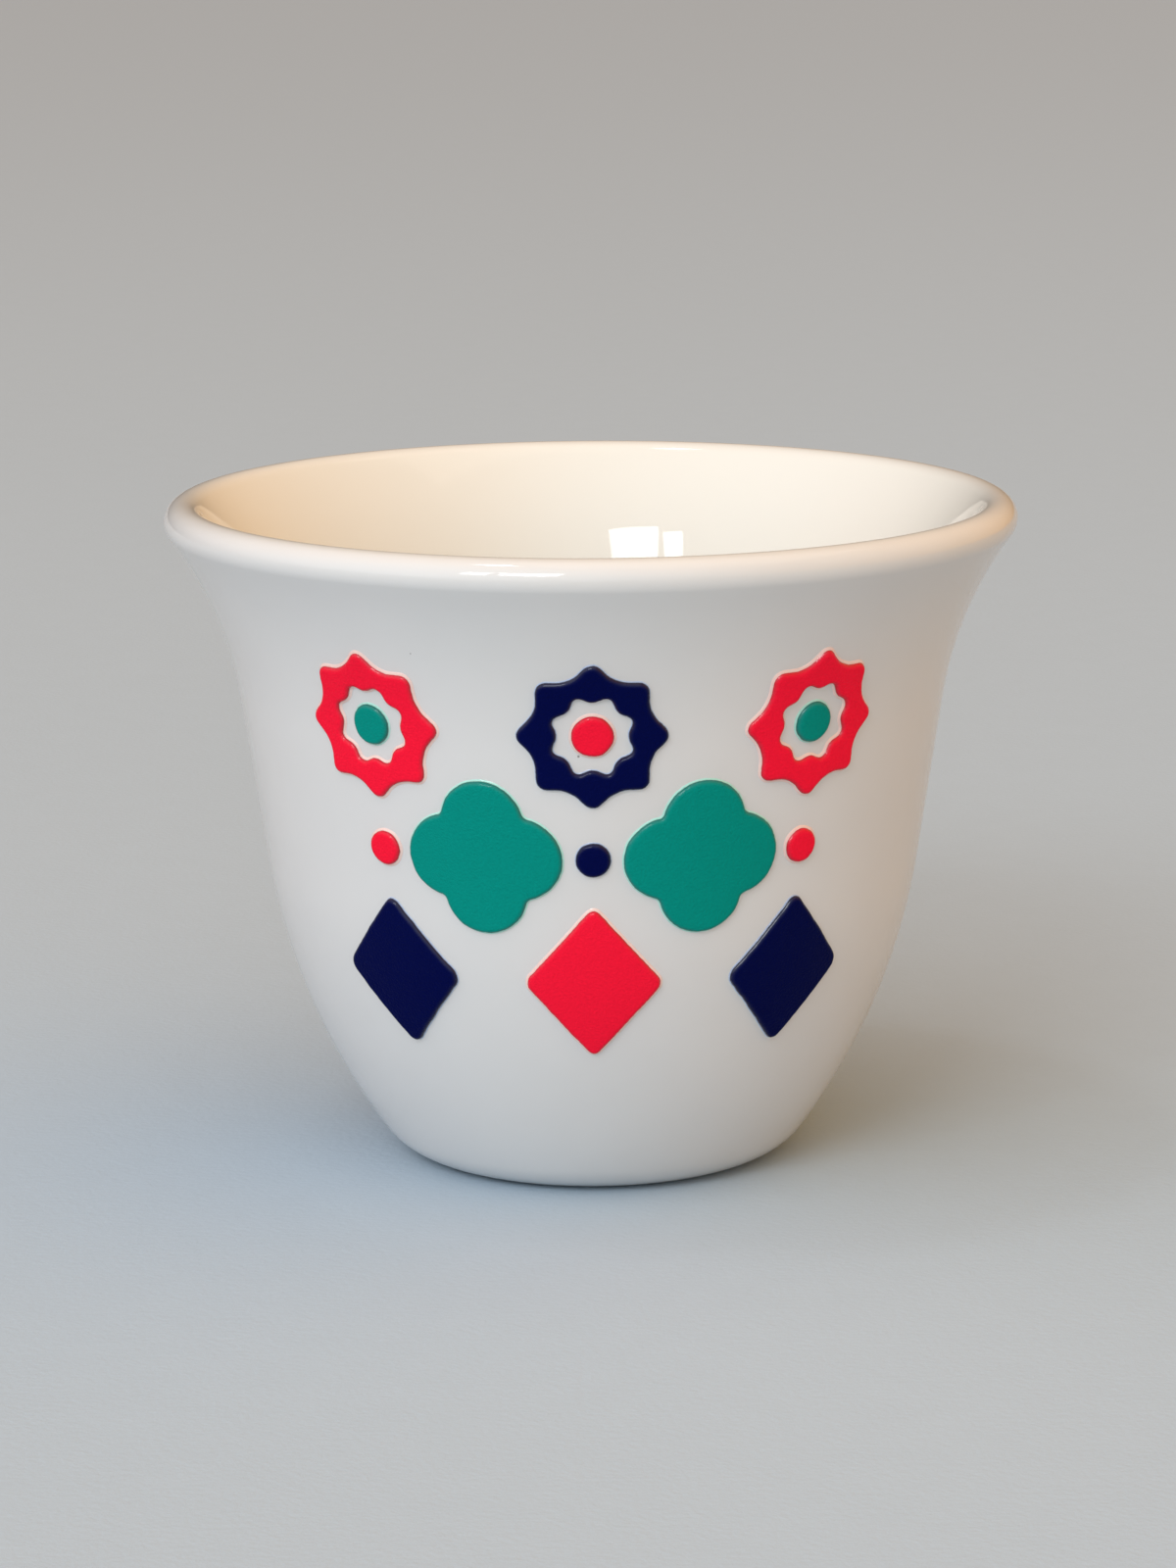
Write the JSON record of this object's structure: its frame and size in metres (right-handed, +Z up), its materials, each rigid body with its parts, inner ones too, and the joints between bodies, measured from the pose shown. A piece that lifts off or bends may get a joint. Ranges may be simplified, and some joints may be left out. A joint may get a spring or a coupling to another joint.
{
  "type": "coffee cup",
  "caption": "Small handleless porcelain coffee cup with a rounded base, a flared thick lip and raised satin enamel ornament in red, navy and green.",
  "frame": {"origin": "on the table under the middle of the foot ring", "axes": "+Z up along the cup's axis, -Y towards the middle of the front panel, +X to the right of someone who faces it"},
  "size_m": [0.065, 0.065, 0.051],
  "materials": {
    "porcelain": "glossy clear glaze over warm white porcelain, bare foot ring",
    "enamel_red": "raised satin enamel",
    "enamel_navy": "raised satin enamel",
    "enamel_green": "raised satin enamel"
  },
  "bodies": {
    "root": {"cup_body": "porcelain", "front_star_left": "enamel_red", "front_star_middle": "enamel_navy", "front_star_right": "enamel_red", "front_star_centre_left": "enamel_green", "front_star_centre_middle": "enamel_red", "front_star_centre_right": "enamel_green", "front_quatrefoil_left": "enamel_green", "front_quatrefoil_right": "enamel_green", "front_dot_left": "enamel_red", "front_dot_middle": "enamel_navy", "front_dot_right": "enamel_red", "front_lozenge_left": "enamel_navy", "front_lozenge_middle": "enamel_red", "front_lozenge_right": "enamel_navy", "back_star_left": "enamel_red", "back_star_middle": "enamel_navy", "back_star_right": "enamel_red", "back_star_centre_left": "enamel_green", "back_star_centre_middle": "enamel_red", "back_star_centre_right": "enamel_green", "back_quatrefoil_left": "enamel_green", "back_quatrefoil_right": "enamel_green", "back_dot_left": "enamel_red", "back_dot_middle": "enamel_navy", "back_dot_right": "enamel_red", "back_lozenge_left": "enamel_navy", "back_lozenge_middle": "enamel_red", "back_lozenge_right": "enamel_navy"}
  },
  "joints": []
}
